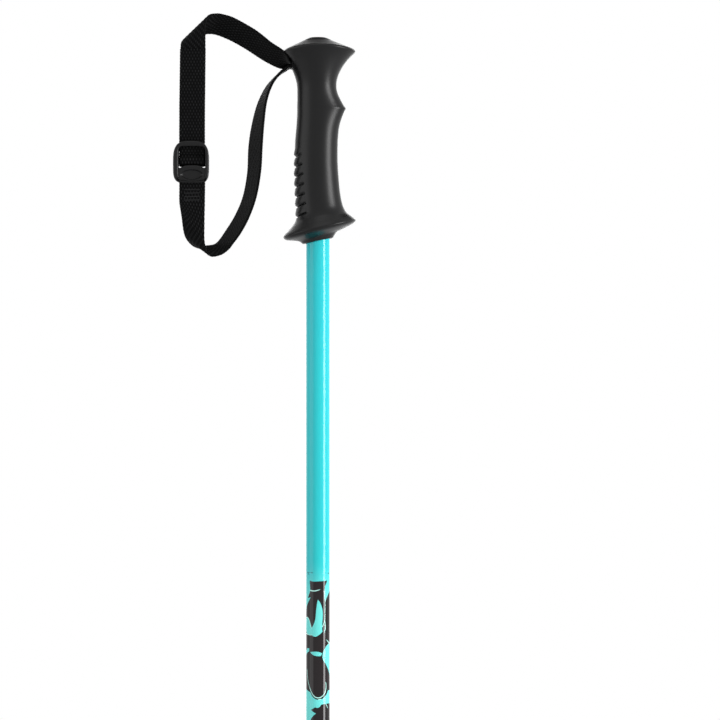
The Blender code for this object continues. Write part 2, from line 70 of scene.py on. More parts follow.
camera_data = bpy.data.cameras.new("camera")
camera_data.lens = LENS
camera_data.sensor_width = FILM
camera_data.clip_end = 40.0
camera = bpy.data.objects.new("camera", camera_data)
camera.location = PICTURE_CENTRE - Vector((0.0, PICTURE_WIDTH * LENS / FILM, 0.0))
camera.rotation_euler = (math.radians(90), 0.0, 0.0)
bpy.context.scene.collection.objects.link(camera)
bpy.context.scene.camera = camera
bpy.context.scene.view_settings.view_transform = "Standard"


def add(tree, kind, inputs=(), **settings):
    """A shader node. Each input's value is a number, a colour, or the output that feeds it."""
    made = tree.nodes.new("ShaderNode" + kind)
    for name, value in settings.items():
        setattr(made, name, value)
    for key, value in dict(inputs).items():
        if isinstance(value, bpy.types.NodeSocket):
            tree.links.new(value, made.inputs[key])
        else:
            made.inputs[key].default_value = value
    return made


def seen_directly(tree):
    """1 for what the camera sees straight, in a reflection or through something, and 0 for light."""
    path = add(tree, "LightPath")
    either = add(tree, "Math", {0: path.outputs["Is Camera Ray"], 1: path.outputs["Is Glossy Ray"]},
                 operation="MAXIMUM")
    return add(tree, "Math", {0: either.outputs[0], 1: path.outputs["Is Transmission Ray"]},
               operation="MAXIMUM").outputs[0]


world = bpy.data.worlds.new("studio")
bpy.context.scene.world = world
world.use_nodes = True
world.node_tree.nodes.clear()
light_of_room = add(world.node_tree, "Background", {"Color": (0.97, 0.98, 1.0, 1.0), "Strength": 0.62})
white_surround = add(world.node_tree, "Background", {"Color": (1.0, 1.0, 1.0, 1.0), "Strength": 1.0})
shown = add(world.node_tree, "MixShader", {
    0: seen_directly(world.node_tree), 1: light_of_room.outputs[0], 2: white_surround.outputs[0]})
add(world.node_tree, "OutputWorld", {"Surface": shown.outputs[0]})


def lamp(name, azimuth, height, distance, width, tall, watts):
    """A soft rectangular lamp, turned to the pole. Azimuth 0 is the camera's side, 90 the front's."""
    data = bpy.data.lights.new(name, "AREA")
    data.shape = "RECTANGLE"
    data.size, data.size_y, data.energy = width, tall, watts
    made = bpy.data.objects.new(name, data)
    angle = math.radians(azimuth)
    made.location = (distance * math.sin(angle), -distance * math.cos(angle), height)
    aim = Vector((0.0, 0.0, min(height, LAMP_AIM_HEIGHT))) - made.location
    made.rotation_euler = aim.to_track_quat("-Z", "Y").to_euler()
    made.visible_camera = False
    bpy.context.scene.collection.objects.link(made)


lamp("tall_lamp_right", 65, 1.00, 2.40, 0.85, 1.7, 64)
lamp("broad_lamp_left", -66, 1.00, 2.40, 1.90, 1.7, 13)
lamp("broad_lamp_behind", 180, 1.05, 2.80, 2.20, 1.7, 26)
lamp("lamp_above", -10, 2.60, 0.60, 1.0, 1.0, 3.0)

card_mesh = bmesh.new()
bmesh.ops.create_grid(card_mesh, x_segments=1, y_segments=1, size=0.5)
card_data = bpy.data.meshes.new("dark_card_above")
card_mesh.to_mesh(card_data)
card_mesh.free()
card = bpy.data.objects.new("dark_card_above", card_data)
card.location = (0.0, 0.95, 1.90)
card.scale = (1.6, 0.9, 1.0)
card.rotation_euler = (Vector((0.0, 0.0, CROWN)) - card.location).to_track_quat("-Z", "Y").to_euler()
card.visible_camera = False
bpy.context.scene.collection.objects.link(card)
card_paint = bpy.data.materials.new("matt_black_card")
card_paint.use_nodes = True
card_paint.node_tree.nodes.clear()
felt = add(card_paint.node_tree, "BsdfDiffuse", {"Color": (0.01, 0.01, 0.01, 1.0)})
add(card_paint.node_tree, "OutputMaterial", {"Surface": felt.outputs[0]})
card_data.materials.append(card_paint)

FLOOR_RADIUS = 3.0
floor_mesh = bmesh.new()
bmesh.ops.create_circle(floor_mesh, cap_ends=True, segments=96, radius=FLOOR_RADIUS)
floor_data = bpy.data.meshes.new("floor")
floor_mesh.to_mesh(floor_data)
floor_mesh.free()
floor = bpy.data.objects.new("floor", floor_data)
bpy.context.scene.collection.objects.link(floor)
floor_paint = bpy.data.materials.new("pale_floor")
floor_paint.use_nodes = True
tree = floor_paint.node_tree
tree.nodes.clear()
place = add(tree, "TexCoord").outputs["Object"]
from_pole = add(tree, "VectorMath", {0: place}, operation="LENGTH").outputs["Value"]
fade = add(tree, "MapRange", {"Value": from_pole, "From Min": 0.5, "From Max": 0.95 * FLOOR_RADIUS},
           interpolation_type="SMOOTHSTEP").outputs["Result"]
away = add(tree, "Math", {0: fade, 1: seen_directly(tree)}, operation="MULTIPLY").outputs[0]
near_floor = add(tree, "BsdfDiffuse", {"Color": (0.86, 0.86, 0.86, 1.0)})
far_floor = add(tree, "Emission", {"Color": (1.0, 1.0, 1.0, 1.0), "Strength": 1.0})
whole_floor = add(tree, "MixShader", {0: away, 1: near_floor.outputs[0], 2: far_floor.outputs[0]})
add(tree, "OutputMaterial", {"Surface": whole_floor.outputs[0]})
floor_data.materials.append(floor_paint)

# ================================================================ the shaft
# One drawn aluminium tube, tapered over its lower half. It is lacquered turquoise, and a dark pattern
# of shards with pale edges is printed on its lower part under a thick clear coat.
tube_low, tube_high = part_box("shaft_tube")
TUBE_RADIUS = (tube_high.x - tube_low.x) / 2
TUBE_WALL = 0.0010
TUBE_FOOT_RADIUS = 0.00475
TAPER_TOP = 0.420
TAPER_FOOT = 0.120
TAPER_STEP = 0.03
FIT_GAP = 0.0003
PATTERN_TOP = CROWN - 0.3125
SHARD_SHIFT = (0.081, 0.152, 0.217)
BITE_SHIFT = (0.311, 0.220, 0.093)
SHARD_SCALE = 56.0
BITE_SCALE = 74.0
DARK_SHARE = 0.66  # of the cells that are printed dark
BITE_SHARE = 0.24  # of the second cells, which take bites out of them
WARP = 0.036


def skin(name, rings, closed=False, sharp=32):
    """A smooth surface over rings of equally many points. Unless it closes on itself, its ends are capped."""
    count = len(rings[0])
    points = [tuple(point) for ring in rings for point in ring]
    pairs = [(row, row + 1) for row in range(len(rings) - 1)]
    if closed:
        pairs.append((len(rings) - 1, 0))
    faces = [
        (low * count + i, low * count + (i + 1) % count, high * count + (i + 1) % count, high * count + i)
        for low, high in pairs for i in range(count)
    ]
    if not closed:
        faces.append(tuple(range(count)))
        faces.append(tuple(reversed(range(len(points) - count, len(points)))))
    data = bpy.data.meshes.new(name)
    data.from_pydata(points, [], faces)
    work = bmesh.new()
    work.from_mesh(data)
    bmesh.ops.recalc_face_normals(work, faces=work.faces)
    work.to_mesh(data)
    work.free()
    data.shade_smooth()
    data.set_sharp_from_angle(angle=math.radians(sharp))
    made = bpy.data.objects.new(name, data)
    bpy.context.scene.collection.objects.link(made)
    return made


def circle(radius, height, count=96):
    step = 2 * math.pi / count
    return [(radius * math.cos(i * step), radius * math.sin(i * step), height) for i in range(count)]


def turned(name, outline, closed=False, count=96, sharp=32):
    """A turned piece from (radius, height) points."""
    return skin(name, [circle(radius, height, count) for radius, height in outline], closed, sharp=sharp)


def softened(outline, radius, steps=3):
    """A closed (radius, height) outline with its corners rounded, each by no more than fits."""
    found = []
    count = len(outline)
    for i, corner in enumerate(outline):
        corner = Vector(corner)
        before = Vector(outline[i - 1]) - corner
        after = Vector(outline[(i + 1) % count]) - corner
        reach = min(radius, before.length * 0.45, after.length * 0.45)
        start, end = corner + before.normalized() * reach, corner + after.normalized() * reach
        for k in range(steps + 1):
            t = k / steps
            found.append(tuple((1 - t) ** 2 * start + 2 * t * (1 - t) * corner + t * t * end))
    return found


def taper_radius(height):
    share = min(max((height - TAPER_FOOT) / (TAPER_TOP - TAPER_FOOT), 0.0), 1.0)
    return TUBE_FOOT_RADIUS + share * (TUBE_RADIUS - TUBE_FOOT_RADIUS)


taper_heights = [TAPER_FOOT + TAPER_STEP * k for k in range(1, 11)]
heights = [tube_low.z, 0.08, TAPER_FOOT] + taper_heights + [0.55, 0.7, tube_high.z]
outside = [(taper_radius(height), height) for height in heights]
inside = [(radius - TUBE_WALL, height) for radius, height in reversed(outside)]
shaft = turned("shaft", outside + inside, closed=True, count=128)


def lacquer_and_shards():
    """Turquoise lacquer, paler where it shows between the printed shards, all under a clear coat."""
    paint = bpy.data.materials.new("turquoise_lacquer")
    paint.use_nodes = True
    tree = paint.node_tree
    shader = tree.nodes["Principled BSDF"]
    place = add(tree, "TexCoord").outputs["Object"]
    height = add(tree, "SeparateXYZ", {0: place}).outputs["Z"]

    def below(depth, softness):
        """1 on the tube below a height, and 0 above it."""
        return add(tree, "MapRange", {
            "Value": height, "From Min": depth - softness, "From Max": depth + softness,
            "To Min": 1.0, "To Max": 0.0}, interpolation_type="SMOOTHSTEP").outputs["Result"]

    def times(one, other):
        return add(tree, "Math", {0: one, 1: other}, operation="MULTIPLY").outputs[0]

    def less(one, other):
        """One without the other."""
        return times(one, add(tree, "Math", {0: 1.0, 1: other}, operation="SUBTRACT").outputs[0])

    # the lacquer's own slow change of hue along and round the tube
    drift_place = add(tree, "Mapping", {"Vector": place, "Scale": (70.0, 70.0, 9.0)}).outputs[0]
    drift = add(tree, "TexNoise", {"Vector": drift_place, "Scale": 1.0, "Detail": 2.0}).outputs[0]
    lacquer = add(tree, "MixRGB", {
        0: drift, 1: (0.014, 0.45, 0.55, 1.0), 2: (0.014, 0.51, 0.49, 1.0)}).outputs[0]
    mint = add(tree, "MixRGB", {
        0: below(PATTERN_TOP - 0.006, 0.014), 1: lacquer, 2: (0.13, 0.66, 0.62, 1.0)}).outputs[0]
    # shards: cells in a warped space, so that their sides are curved and their corners sharp
    warp = add(tree, "TexNoise", {"Vector": place, "Scale": 44.0, "Detail": 0.0}).outputs["Color"]
    centred = add(tree, "VectorMath", {0: warp, 1: (0.5, 0.5, 0.5)}, operation="SUBTRACT").outputs[0]
    pushed = add(tree, "VectorMath", {0: centred, 3: WARP}, operation="SCALE").outputs[0]
    warped = add(tree, "VectorMath", {0: place, 1: pushed}, operation="ADD").outputs[0]
    shifted = add(tree, "Mapping", {
        "Vector": warped, "Location": SHARD_SHIFT, "Scale": (1.0, 1.0, 0.8)}).outputs[0]
    cells = add(tree, "TexVoronoi", {"Vector": shifted, "Scale": SHARD_SCALE}, feature="F1").outputs["Color"]
    borders = add(tree, "TexVoronoi", {
        "Vector": shifted, "Scale": SHARD_SCALE}, feature="DISTANCE_TO_EDGE").outputs[0]
    lot = add(tree, "SeparateColor", {0: cells}).outputs["Red"]
    dark_cell = add(tree, "Math", {0: lot, 1: DARK_SHARE}, operation="LESS_THAN").outputs[0]
    moved = add(tree, "Mapping", {"Vector": warped, "Location": BITE_SHIFT}).outputs[0]
    bites = add(tree, "TexVoronoi", {"Vector": moved, "Scale": BITE_SCALE}, feature="F1").outputs["Color"]
    lot = add(tree, "SeparateColor", {0: bites}).outputs["Green"]
    bitten = add(tree, "Math", {0: lot, 1: BITE_SHARE}, operation="LESS_THAN").outputs[0]
    dark_cell = less(dark_cell, bitten)
    wavy = add(tree, "TexNoise", {"Vector": place, "Scale": 90.0, "Detail": 0.0}).outputs[0]
    ragged = add(tree, "MapRange", {"Value": wavy, "To Min": -0.0018, "To Max": 0.0018}).outputs["Result"]
    ragged_height = add(tree, "Math", {0: height, 1: ragged}, operation="ADD").outputs[0]
    started = add(tree, "MapRange", {
        "Value": ragged_height, "From Min": PATTERN_TOP - 0.0046, "From Max": PATTERN_TOP - 0.0043,
        "To Min": 1.0, "To Max": 0.0}).outputs["Result"]
    dark_cell = times(dark_cell, started)
    broken = add(tree, "TexNoise", {"Vector": place, "Scale": 70.0, "Detail": 0.0}).outputs[0]
    kept = add(tree, "MapRange", {"Value": broken, "From Min": 0.54, "From Max": 0.58}).outputs["Result"]
    # pale hairlines follow some of the shards' sides
    hairline = times(kept, add(tree, "MapRange", {
        "Value": borders, "From Min": 0.018, "From Max": 0.009}).outputs["Result"])
    shard = less(dark_cell, hairline)
    rimmed = add(tree, "MixRGB", {
        0: times(hairline, dark_cell), 1: mint, 2: (0.50, 0.88, 0.78, 1.0)}).outputs[0]
    # a few specks lie just above the first shards
    speck_place = add(tree, "Mapping", {"Vector": place, "Scale": (260.0, 260.0, 900.0)}).outputs[0]
    specks = add(tree, "TexNoise", {"Vector": speck_place, "Scale": 1.0, "Detail": 1.0}).outputs[0]
    specks = add(tree, "MapRange", {"Value": specks, "From Min": 0.60, "From Max": 0.63}).outputs["Result"]
    specks = times(specks, less(below(PATTERN_TOP, 0.0003), below(PATTERN_TOP - 0.0016, 0.0003)))
    ink = add(tree, "Math", {0: shard, 1: specks}, operation="MAXIMUM").outputs[0]
    ink_tone = add(tree, "MixRGB", {0: drift, 1: (0.003, 0.002, 0.002, 1.0), 2: (0.009, 0.005, 0.006, 1.0)})
    printed = add(tree, "MixRGB", {0: ink, 1: rimmed, 2: ink_tone.outputs[0]}).outputs[0]
    tree.links.new(printed, shader.inputs["Base Color"])
    # the lacquer's faint unevenness, which softens the clear coat's reflections
    ripple = add(tree, "TexNoise", {"Vector": drift_place, "Scale": 4.0, "Detail": 1.0}).outputs[0]
    bump = add(tree, "Bump", {"Height": ripple, "Strength": 0.08, "Distance": 0.0002}).outputs[0]
    tree.links.new(bump, shader.inputs["Coat Normal"])
    dullness = add(tree, "MapRange", {"Value": ink, "To Min": 0.46, "To Max": 0.80}).outputs["Result"]
    tree.links.new(dullness, shader.inputs["Roughness"])
    shader.inputs["Specular IOR Level"].default_value = 0.04
    shader.inputs["Coat Weight"].default_value = 1.0
    shader.inputs["Coat Roughness"].default_value = 0.04
    shader.inputs["Coat IOR"].default_value = 1.34
    return paint


shaft.data.materials.append(lacquer_and_shards())
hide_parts("shaft_tube")
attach(shaft, "pole")

# ================================================================ the tube plug
# A white nylon plug pressed into the tube's upper end, with a thin flange on its rim. The strap screw
# cuts its own thread in the plug's bore. It is out of sight inside the grip.
nylon = bpy.data.materials.new("natural_nylon")
nylon.use_nodes = True
tree = nylon.node_tree
place = add(tree, "TexCoord").outputs["Object"]
cloud = add(tree, "TexNoise", {"Vector": place, "Scale": 180.0}).outputs[0]
milky = add(tree, "MixRGB", {0: cloud, 1: (0.60, 0.57, 0.48, 1.0), 2: (0.70, 0.68, 0.60, 1.0)}).outputs[0]
tree.links.new(milky, tree.nodes["Principled BSDF"].inputs["Base Color"])
tree.nodes["Principled BSDF"].inputs["Roughness"].default_value = 0.5
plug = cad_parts["tube_plug"]
plug.data.materials.clear()
plug.data.materials.append(nylon)

# ================================================================ the grip
# One moulding of black soft plastic over the tube. Its head and its lower flange flare out, a ridge
# parts the first finger from the others, and seven slanted ribs at the back stop the palm slipping.
BORE_RADIUS = TUBE_RADIUS + FIT_GAP
BORE_ROOF = CROWN - 0.0217
CAP_SEAT_RADIUS = 0.0081
CAP_SEAT_DEPTH = 0.0032
CAP_SEAT_RIM_DEPTH = 0.0019
RIB_COUNT = 7
RIB_PITCH = 0.00587
RIB_FIRST_GROOVE = 0.0700
RIB_RISE = 0.40
RIB_BULGE = 0.0006
GROOVE_DEPTH = 0.0010
SLOT_DEPTH = 0.0166
SLOT_HALF_WIDTH = 0.0078
SLOT_HALF_HEIGHT = 0.00195

# Each station: how far the surface stands outside the tube at the front, at the back and at the sides,
# the depth of its front and back points, and how much higher it passes at the sides.
CROWN_EDGE = (0.0012, 0.0012, 0.0012, 0.0017, 0.0017, 0.0)
SHOULDER = (0.0126, 0.0113, 0.0096, 0.0063, 0.0066, 0.0020)
UNDER_SHOULDER = (
    (0.0126, 0.0113, 0.0096, 0.0063, 0.0066, 0.0020),
    (0.0137, 0.0123, 0.0105, 0.0068, 0.0072, 0.0023),
    (0.0145, 0.0130, 0.0111, 0.0074, 0.0079, 0.0025),
    (0.0149, 0.0133, 0.0114, 0.0081, 0.0086, 0.0026),
    (0.0147, 0.0131, 0.0111, 0.0089, 0.0094, 0.0026),
    (0.0139, 0.0125, 0.0103, 0.0098, 0.0103, 0.0024),
    (0.0121, 0.0115, 0.0092, 0.0115, 0.0120, 0.0018),
    (0.0100, 0.0102, 0.0081, 0.0138, 0.0143, 0.0012),
    (0.0070, 0.0083, 0.0066, 0.0181, 0.0186, 0.0006),
    (0.0048, 0.0066, 0.0053, 0.0228, 0.0228, 0.0002),
    (0.0039, 0.0053, 0.0042, 0.0275, 0.0278, 0.0000),
    (0.0044, 0.0051, 0.0037, 0.0320, 0.0326, 0.0000),
    (0.0065, 0.0051, 0.0036, 0.0368, 0.0370, 0.0000),
    (0.0084, 0.0052, 0.0037, 0.0402, 0.0402, 0.0000),
    (0.0093, 0.0052, 0.0037, 0.0416, 0.0415, 0.0000),
    (0.0083, 0.0052, 0.0038, 0.0437, 0.0437, 0.0000),
    (0.0065, 0.0054, 0.0040, 0.0485, 0.0485, 0.0000),
    (0.0053, 0.0058, 0.0042, 0.0535, 0.0535, 0.0000),
    (0.0047, 0.0064, 0.0044, 0.0605, 0.0605, 0.0000),
)
FLANGE_TOP = (
    (0.0046, 0.0066, 0.0045, 0.0720, 0.0740, 0.0000),
    (0.0051, 0.0065, 0.0045, 0.0810, 0.0840, 0.0000),
    (0.0060, 0.0060, 0.0047, 0.0906, 0.0950, 0.0000),
    (0.0073, 0.0057, 0.0056, 0.0973, 0.1033, 0.0000),
    (0.0088, 0.0061, 0.0068, 0.1008, 0.1072, 0.0000),
    (0.0103, 0.0076, 0.0082, 0.1028, 0.1098, 0.0000),
    (0.0118, 0.0094, 0.0094, 0.1039, 0.1120, 0.0000),
    (0.0130, 0.0107, 0.0104, 0.1048, 0.1135, 0.0000),
    (0.0142, 0.0121, 0.0113, 0.1058, 0.1149, 0.0000),
    (0.0151, 0.0129, 0.0119, 0.1066, 0.1160, 0.0000),
)
FLANGE_FOOT = (
    (0.0151, 0.0132, 0.0120, 0.1070, 0.1166, 0.0000),
    (0.0149, 0.0131, 0.0118, 0.1075, 0.1173, 0.0000),
    (0.0143, 0.0125, 0.0112, 0.1082, 0.1181, 0.0000),
    (0.0125, 0.0107, 0.0096, 0.1094, 0.1187, 0.0000),
    (0.0081, 0.0060, 0.0060, 0.1117, 0.1190, 0.0000),
    (0.0043, 0.0036, 0.0036, 0.1135, 0.1195, 0.0000),
    (0.0027, 0.0026, 0.0024, 0.1156, 0.1202, 0.0000),
    (0.0019, 0.0020, 0.0017, 0.1170, 0.1207, 0.0000),
    (0.0012, 0.0013, 0.0011, 0.1174, 0.1208, 0.0000),
)


def smooth_between(rows, steps):
    """A smooth curve through rows of numbers, with steps points from each row to the next."""
    rows = np.array(rows, float)
    found = []
    for i in range(len(rows) - 1):
        a, b, c, d = rows[max(i - 1, 0)], rows[i], rows[i + 1], rows[min(i + 2, len(rows) - 1)]
        for k in range(steps):
            t = k / steps
            found.append(0.5 * (2 * b + (c - a) * t + (2 * a - 5 * b + 4 * c - d) * t**2
                                + (3 * b - a - 3 * c + d) * t**3))
    found.append(rows[-1])
    return found


def rib(depth, behind):
    """Height of the palm ribs: each swells towards its lower end, where a sharp groove cuts under it."""
    along = (depth - RIB_FIRST_GROOVE) / RIB_PITCH
    if not -1.0 < along < RIB_COUNT - 0.5:
        return 0.0
    inner = 0.0098 - 0.0040 * (along + 0.5) / RIB_COUNT
    inside = min(max((behind - inner) / 0.0012, 0.0), 1.0)
    inside = inside * inside * (3 - 2 * inside)
    wide = min(max((behind - inner) / 0.0045, 0.0), 1.0)
    phase = along % 1.0
    swell = math.sin(math.pi * phase ** 1.7) if along < RIB_COUNT - 1 else 0.0
    off_groove = min(phase, 1 - phase) if along > -0.5 else 1.0
    if along > RIB_COUNT - 1:
        off_groove = phase
    groove = math.exp(-((off_groove / 0.075) ** 2))
    return inside * (RIB_BULGE * swell * wide - GROOVE_DEPTH * groove)


def grip_ring(station, count=128):
    front, back, side, front_depth, back_depth, lift = station
    front, back, side = (TUBE_RADIUS + wall for wall in (front, back, side))
    ring = []
    for i in range(count):
        angle = 2 * math.pi * i / count
        x = (front if math.cos(angle) > 0 else back) * math.cos(angle)
        y = side * math.sin(angle)
        share = (x + back) / (front + back)
        depth = back_depth + share * (front_depth - back_depth) - lift * math.sin(angle) ** 2
        outward = 1 + rib(depth + RIB_RISE * (x + back), -x) / math.hypot(x, y)
        ring.append((x * outward, y * outward, CROWN - depth))
    return ring


def between(one, other, share):
    return [a + share * (b - a) for a, b in zip(one, other)]


crown_stations = [between(CROWN_EDGE, SHOULDER, share / 6) for share in range(6)]
neck_stations = smooth_between(UNDER_SHOULDER, 4)[:-1]
palm_stations = smooth_between([*UNDER_SHOULDER[-2:], *FLANGE_TOP[:7]], 26)[26:-26]
flare_stations = smooth_between(FLANGE_TOP[5:], 4)
foot_stations = smooth_between(FLANGE_FOOT, 4)
grip_rings = [grip_ring(station) for station in
              crown_stations + neck_stations + palm_stations + flare_stations + foot_stations]
seat_rings = [circle(CAP_SEAT_RADIUS, CROWN - depth, 128) for depth in (CAP_SEAT_DEPTH, CAP_SEAT_RIM_DEPTH)]
collar_lip = [(x * BORE_RADIUS / math.hypot(x, y), y * BORE_RADIUS / math.hypot(x, y), z)
              for x, y, z in grip_rings[-1]]
bore_rings = [collar_lip, circle(BORE_RADIUS, BORE_ROOF, 128)]
grip = skin("grip", seat_rings + grip_rings + bore_rings, sharp=60)

slot_cutter = bmesh.new()
bmesh.ops.create_cube(slot_cutter, size=1.0)
for corner in slot_cutter.verts:
    corner.co.x = -0.04 if corner.co.x < 0 else 0.0075
    corner.co.y = math.copysign(SLOT_HALF_WIDTH, corner.co.y)
    corner.co.z = CROWN - SLOT_DEPTH + math.copysign(SLOT_HALF_HEIGHT, corner.co.z)
cutter_data = bpy.data.meshes.new("slot_cutter")
slot_cutter.to_mesh(cutter_data)
slot_cutter.free()
cutter = bpy.data.objects.new("slot_cutter", cutter_data)
bpy.context.scene.collection.objects.link(cutter)


def cut(piece, other):
    """Cuts the other object out of the piece for good, and removes it."""
    modifier = piece.modifiers.new("cut", "BOOLEAN")
    modifier.operation, modifier.solver, modifier.object = "DIFFERENCE", "EXACT", other
    shape = bpy.data.meshes.new_from_object(piece.evaluated_get(bpy.context.evaluated_depsgraph_get()))
    piece.modifiers.clear()
    piece.data = shape
    bpy.data.objects.remove(other)


cut(grip, cutter)


def moulded_black(name, colour, roughness, grain, scale, gloss):
    """Black plastic with a fine moulded grain and a slightly uneven sheen from handling."""
    plastic = bpy.data.materials.new(name)
    plastic.use_nodes = True
    tree = plastic.node_tree
    shader = tree.nodes["Principled BSDF"]
    place = add(tree, "TexCoord").outputs["Object"]
    cloud = add(tree, "TexNoise", {"Vector": place, "Scale": 70.0, "Detail": 3.0}).outputs[0]
    lighter = tuple(1.5 * part for part in colour)
    tint = add(tree, "MixRGB", {0: cloud, 1: (*colour, 1.0), 2: (*lighter, 1.0)}).outputs[0]
    tree.links.new(tint, shader.inputs["Base Color"])
    sheen = add(tree, "MapRange", {
        "Value": cloud, "To Min": roughness - 0.05, "To Max": roughness + 0.06}).outputs["Result"]
    tree.links.new(sheen, shader.inputs["Roughness"])
    pits = add(tree, "TexNoise", {"Vector": place, "Scale": scale, "Detail": 2.0}).outputs[0]
    bump = add(tree, "Bump", {"Height": pits, "Strength": grain, "Distance": 0.0001}).outputs[0]
    tree.links.new(bump, shader.inputs["Normal"])
    shader.inputs["Specular IOR Level"].default_value = gloss
    return plastic


grip_plastic = moulded_black("soft_black_grip", (0.0026, 0.0026, 0.0028), 0.34, 0.16, 2600.0, 0.23)
grip.data.materials.clear()
grip.data.materials.append(grip_plastic)
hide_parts("grip_body")
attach(grip, "pole")

# ================================================================ the grip cap
# A snap-in plug of the same plastic, flat in the middle and sloping with the head around it. It hides
# the head of the strap screw.
CAP_RADIUS = 0.0078
CAP_SPIGOT_RADIUS = 0.0053
cap_outline = [
    (0.0010, CROWN), (0.0038, CROWN), (0.0044, CROWN - 0.00004), (0.0049, CROWN - 0.00016),
    (0.0056, CROWN - 0.00045), (0.0066, CROWN - 0.0009), (0.0075, CROWN - 0.0013),
    (CAP_RADIUS, CROWN - 0.0016), (CAP_RADIUS, CROWN - 0.0028), (CAP_RADIUS - 0.0003, CROWN - 0.0029),
    (CAP_SPIGOT_RADIUS, CROWN - 0.0029), (CAP_SPIGOT_RADIUS, CROWN - 0.0056),
]
cap = turned("crown_cap", cap_outline, sharp=40)
cap.data.materials.append(grip_plastic)
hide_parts("grip_cap")
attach(cap, "pole")

# ================================================================ the strap screw and its washer
# A zinc-plated pan-head tapping screw with a cross recess, and a plain washer under its head. They
# clamp the sewn strap ends in the slot, out of sight under the cap.
zinc = bpy.data.materials.new("zinc_plated_steel")
zinc.use_nodes = True
tree = zinc.node_tree
place = add(tree, "TexCoord").outputs["Object"]
turning = add(tree, "Mapping", {"Vector": place, "Scale": (300.0, 300.0, 5000.0)}).outputs[0]
marks = add(tree, "TexNoise", {"Vector": turning, "Scale": 1.0, "Detail": 4.0}).outputs[0]
metal = tree.nodes["Principled BSDF"]
grey = add(tree, "MixRGB", {0: marks, 1: (0.50, 0.51, 0.53, 1.0), 2: (0.66, 0.67, 0.68, 1.0)}).outputs[0]
tree.links.new(grey, metal.inputs["Base Color"])
rough = add(tree, "MapRange", {"Value": marks, "To Min": 0.22, "To Max": 0.42}).outputs["Result"]
tree.links.new(rough, metal.inputs["Roughness"])
metal.inputs["Metallic"].default_value = 1.0
for node in ("strap_screw", "strap_washer"):
    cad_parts[node].data.materials.clear()
    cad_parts[node].data.materials.append(zinc)

# ================================================================ the wrist strap
# One length of flat black nylon webbing, 15 mm wide. Both ends are sewn together and clamped in the
# slot. The loop lies in two soft diagonal folds, and its near run passes through the buckle.
WEBBING_HALF_WIDTH = 0.0075
WEBBING_HALF_THICKNESS = 0.00075
YARN_PITCH = 0.00179
YARN_HEIGHT = 0.00013
ROUTE_START = Vector((-TUBE_RADIUS, 0.0, CROWN - SLOT_DEPTH))

# Stations of the band's middle, from the tube's back at the slot, and of its near edge's direction in
# half widths. A direction longer than 1 crosses the band obliquely, as the bend of a fold does.
UPPER_ROUTE = (
    ((-0.0070, 0.0000, 0.0009), (0.00, -1.00, 0.00)),
    ((-0.0083, 0.0000, 0.0009), (0.00, -1.00, 0.00)),
    ((-0.0097, 0.0000, 0.0011), (0.04, -0.98, 0.17)),
    ((-0.0114, 0.0001, 0.0019), (0.12, -0.89, 0.40)),
    ((-0.0137, 0.0003, 0.0033), (0.21, -0.80, 0.56)),
    ((-0.0172, 0.0005, 0.0053), (0.30, -0.74, 0.61)),
    ((-0.0232, 0.0008, 0.0089), (0.38, -0.70, 0.61)),
    ((-0.0325, 0.0019, 0.0156), (0.41, -0.60, 0.69)),
    ((-0.0435, 0.0028, 0.0218), (0.27, -0.55, 0.79)),
    ((-0.0515, 0.0029, 0.0245), (0.53, -0.54, 0.71)),
    ((-0.0585, 0.0020, 0.0240), (0.87, -0.51, 0.85)),
    ((-0.0643, -0.0009, 0.0216), (1.05, -0.25, 0.98)),
    ((-0.0658, -0.0036, 0.0150), (0.99, -0.03, 0.96)),
    ((-0.0660, -0.0040, 0.0026), (0.99, 0.00, 0.80)),
    ((-0.0662, -0.0040, -0.0134), (1.00, 0.00, 0.00)),
    ((-0.0664, -0.0040, -0.0234), (1.00, 0.00, 0.00)),
    ((-0.0664, -0.0036, -0.0400), (1.00, 0.00, 0.00)),
    ((-0.0664, -0.0030, -0.0490), (1.00, 0.00, 0.00)),
    ((-0.0664, -0.0025, -0.0540), (1.00, 0.00, 0.00)),
    ((-0.0664, -0.0026, -0.0570), (1.00, 0.00, 0.00)),
)
LOWER_ROUTE = (
    ((-0.0664, -0.0040, -0.0650), (1.00, 0.00, 0.00)),
    ((-0.0664, -0.0040, -0.0720), (1.00, 0.00, 0.00)),
    ((-0.0664, -0.0040, -0.0794), (1.00, 0.00, 0.00)),
    ((-0.0662, -0.0040, -0.0884), (0.94, 0.00, -0.55)),
    ((-0.0657, -0.0037, -0.0966), (0.91, -0.04, -1.05)),
    ((-0.0632, -0.0010, -0.1050), (1.00, -0.22, -0.80)),
    ((-0.0575, 0.0014, -0.1077), (1.07, -0.43, -0.34)),
    ((-0.0518, 0.0023, -0.1062), (0.90, -0.57, -0.12)),
    ((-0.0476, 0.0022, -0.1038), (0.65, -0.72, -0.02)),
    ((-0.0424, 0.0020, -0.0968), (0.55, -0.81, -0.15)),
    ((-0.0373, 0.0016, -0.0879), (0.53, -0.83, -0.11)),
    ((-0.0329, 0.0010, -0.0764), (0.52, -0.85, -0.01)),
    ((-0.0303, 0.0005, -0.0619), (0.52, -0.85, 0.07)),
    ((-0.0295, 0.0003, -0.0472), (0.53, -0.85, 0.03)),
    ((-0.0281, 0.0000, -0.0344), (0.47, -0.88, 0.07)),
    ((-0.0256, -0.0002, -0.0216), (0.35, -0.93, 0.08)),
    ((-0.0214, 0.0000, -0.0116), (0.24, -0.97, 0.08)),
    ((-0.0158, 0.0000, -0.0049), (0.13, -0.99, 0.05)),
    ((-0.0119, 0.0000, -0.0021), (0.04, -1.00, 0.01)),
    ((-0.0101, 0.0000, -0.0009), (0.00, -1.00, 0.00)),
    ((-0.0083, 0.0000, -0.0009), (0.00, -1.00, 0.00)),
)
STEP_ALONG = 0.0004
COLUMNS = 50


